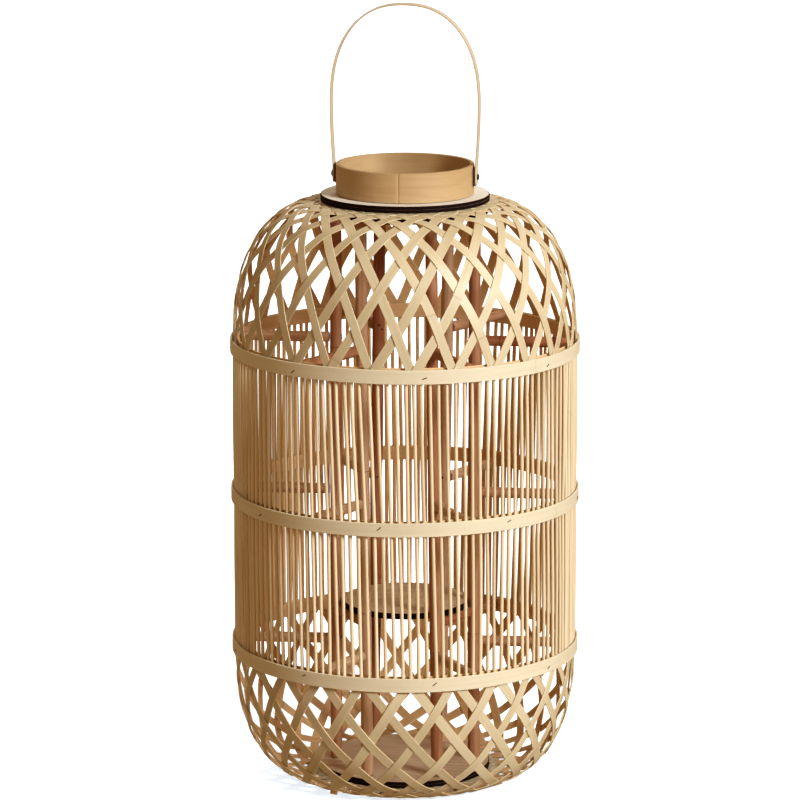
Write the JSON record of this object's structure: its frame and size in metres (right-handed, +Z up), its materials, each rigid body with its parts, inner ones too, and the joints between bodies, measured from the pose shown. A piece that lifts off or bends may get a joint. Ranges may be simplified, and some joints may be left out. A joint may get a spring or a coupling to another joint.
{
  "type": "woven bamboo lantern",
  "caption": "Tall round woven bamboo floor lantern with a stick screen, open lattice shoulder and bowl, a wooden collar, an inner candle plate and a swinging bail handle.",
  "frame": {"origin": "centre of the base, on the surface that the lantern stands on", "axes": "+Z up along the lantern's own axis, X along the handle's pivot axis through both rivets, Y at right angles to it"},
  "size_m": [0.35, 0.35, 0.783],
  "materials": {
    "plywood": "unfinished birch plywood with a dark laser-cut edge",
    "bamboo_dowel": "reddish-brown round bamboo, satin",
    "hoop_band": "split bamboo band, smooth satin",
    "bamboo_stick": "round split-bamboo stick, satin",
    "woven_strip": "flat split-bamboo strip, satin with long fibres",
    "collar_wood": "bent wood veneer, satin",
    "tab_leather": "dark brown leather",
    "rivet_metal": "darkened steel",
    "handle_bamboo": "bent bamboo strip, satin"
  },
  "bodies": {
    "lantern": {"base_ring": "plywood", "base_plate_lower": "plywood", "base_plate_upper": "plywood", "candle_plate": "plywood", "head_ring": "plywood", "flange_lower_ring": "plywood", "flange_upper_ring": "plywood", "post_1": "bamboo_dowel", "post_2": "bamboo_dowel", "post_3": "bamboo_dowel", "post_4": "bamboo_dowel", "post_5": "bamboo_dowel", "post_6": "bamboo_dowel", "spoke_lower_1": "bamboo_dowel", "spoke_lower_2": "bamboo_dowel", "spoke_lower_3": "bamboo_dowel", "spoke_lower_4": "bamboo_dowel", "spoke_lower_5": "bamboo_dowel", "spoke_lower_6": "bamboo_dowel", "spoke_middle_1": "bamboo_dowel", "spoke_middle_2": "bamboo_dowel", "spoke_middle_3": "bamboo_dowel", "spoke_middle_4": "bamboo_dowel", "spoke_middle_5": "bamboo_dowel", "spoke_middle_6": "bamboo_dowel", "spoke_upper_1": "bamboo_dowel", "spoke_upper_2": "bamboo_dowel", "spoke_upper_3": "bamboo_dowel", "spoke_upper_4": "bamboo_dowel", "spoke_upper_5": "bamboo_dowel", "spoke_upper_6": "bamboo_dowel", "rung_1": "bamboo_dowel", "rung_2": "bamboo_dowel", "rung_3": "bamboo_dowel", "outer_band_lower": "hoop_band", "outer_band_middle": "hoop_band", "outer_band_upper": "hoop_band", "inner_band_lower": "hoop_band", "inner_band_middle": "hoop_band", "inner_band_upper": "hoop_band", "stick_panel_1": "bamboo_stick", "stick_panel_2": "bamboo_stick", "stick_panel_3": "bamboo_stick", "stick_panel_4": "bamboo_stick", "stick_panel_5": "bamboo_stick", "stick_panel_6": "bamboo_stick", "stick_panel_7": "bamboo_stick", "stick_panel_8": "bamboo_stick", "stick_panel_9": "bamboo_stick", "stick_panel_10": "bamboo_stick", "stick_panel_11": "bamboo_stick", "stick_panel_12": "bamboo_stick", "top_weave": "woven_strip", "bottom_weave": "woven_strip", "collar": "collar_wood", "tab_right": "tab_leather", "tab_left": "tab_leather", "rivet_right": "rivet_metal", "rivet_left": "rivet_metal"},
    "handle": {"handle": "handle_bamboo"}
  },
  "joints": [
    {"name": "handle_swing", "type": "hinge", "parent": "lantern", "child": "handle", "pos_m": [0, 0, 0.612], "axis": [1, 0, 0], "range_deg": [-104, 104]}
  ]
}
